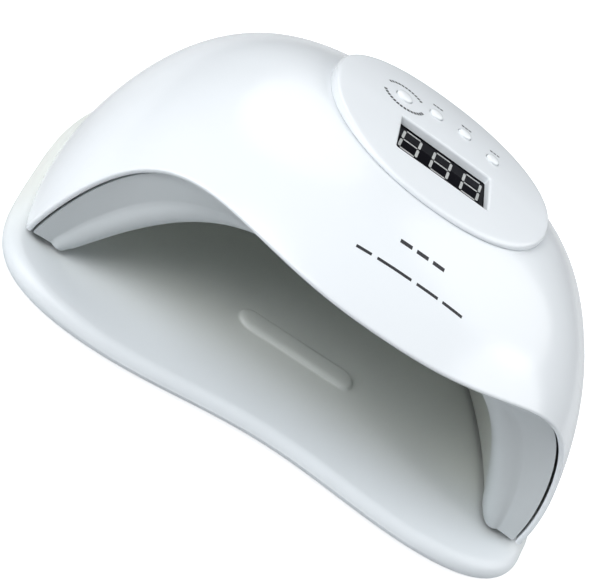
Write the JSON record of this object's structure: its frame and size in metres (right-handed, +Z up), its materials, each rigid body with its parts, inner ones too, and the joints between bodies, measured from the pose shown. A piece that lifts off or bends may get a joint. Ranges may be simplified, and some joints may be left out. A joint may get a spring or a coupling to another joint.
{
  "type": "uv led nail lamp",
  "caption": "Table-top curing lamp for gel nails: a domed shell with an open hand chamber over a lift-off tray, an oval panel with push buttons and a digit display.",
  "frame": {"origin": "centre of the overall footprint, on the surface the feet stand on", "axes": "+X to the user's right, hand opening faces -Y, +Z up"},
  "size_m": [0.2272, 0.1947, 0.0987],
  "materials": {
    "shell": "glossy injection-moulded white",
    "panel": "glossy white",
    "liner": "satin white reflector",
    "tray": "satin white",
    "button": "glossy white",
    "display_face": "gloss black filter",
    "display_block": "matte grey",
    "circuit_board": "green solder mask",
    "led_board": "white solder mask with clear lenses",
    "switch": "matte black",
    "connector": "off-white",
    "capacitor": "bare can",
    "chip": "matte black",
    "screw": "zinc plated",
    "magnet": "nickel plated",
    "rubber_foot": "matte",
    "frame_plate": "matte white",
    "power_wire": "red insulation",
    "signal_wire": "grey insulation",
    "sensor": "dark infrared window",
    "jack": "matte black"
  },
  "bodies": {
    "tray": {"base_tray": "tray", "tray_magnet_1": "magnet", "tray_magnet_2": "magnet", "tray_magnet_3": "magnet", "tray_magnet_4": "magnet", "tray_foot_1": "rubber_foot", "tray_foot_2": "rubber_foot", "tray_foot_3": "rubber_foot", "tray_foot_4": "rubber_foot"},
    "lamp": {"board_capacitor_1": "capacitor", "board_capacitor_2": "capacitor", "button_board": "circuit_board", "button_board_screw_1": "screw", "button_board_screw_2": "screw", "button_board_screw_3": "screw", "button_board_screw_4": "screw", "control_panel": "panel", "controller_chip": "chip", "dc_inlet": "jack", "display_filter": "display_face", "display_module": "display_block", "display_ribbon": "signal_wire", "frame_screw_1": "screw", "frame_screw_2": "screw", "frame_screw_3": "screw", "frame_screw_4": "screw", "hand_sensor": "sensor", "inner_liner": "liner", "lamp_magnet_1": "magnet", "lamp_magnet_2": "magnet", "lamp_magnet_3": "magnet", "lamp_magnet_4": "magnet", "led_connector": "connector", "led_lead": "signal_wire", "led_strip_1": "led_board", "led_strip_2": "led_board", "led_strip_3": "led_board", "led_strip_4": "led_board", "lower_frame": "frame_plate", "main_board": "circuit_board", "main_board_screw_1": "screw", "main_board_screw_2": "screw", "main_board_screw_3": "screw", "main_board_screw_4": "screw", "outer_shell": "shell", "power_connector": "connector", "power_inductor": "chip", "power_lead": "power_wire", "ribbon_connector": "connector", "sensor_board": "circuit_board", "tact_switch_1": "switch", "tact_switch_2": "switch", "tact_switch_3": "switch", "tact_switch_4": "switch"},
    "power_button": {"power_button": "button"},
    "timer_button_1": {"timer_button_1": "button"},
    "timer_button_2": {"timer_button_2": "button"},
    "timer_button_3": {"timer_button_3": "button"}
  },
  "joints": [
    {"name": "lamp_lift", "type": "slide", "parent": "tray", "child": "lamp", "axis": [0, 0, 1], "range_m": [0, 0.12]},
    {"name": "power_button_press", "type": "slide", "parent": "lamp", "child": "power_button", "axis": [0, 0, -1], "range_m": [0, 0.0005], "stiffness_N_per_m": 1500},
    {"name": "timer_button_1_press", "type": "slide", "parent": "lamp", "child": "timer_button_1", "axis": [0, 0, -1], "range_m": [0, 0.0005], "stiffness_N_per_m": 1500},
    {"name": "timer_button_2_press", "type": "slide", "parent": "lamp", "child": "timer_button_2", "axis": [0, 0, -1], "range_m": [0, 0.0005], "stiffness_N_per_m": 1500},
    {"name": "timer_button_3_press", "type": "slide", "parent": "lamp", "child": "timer_button_3", "axis": [0, 0, -1], "range_m": [0, 0.0005], "stiffness_N_per_m": 1500}
  ]
}
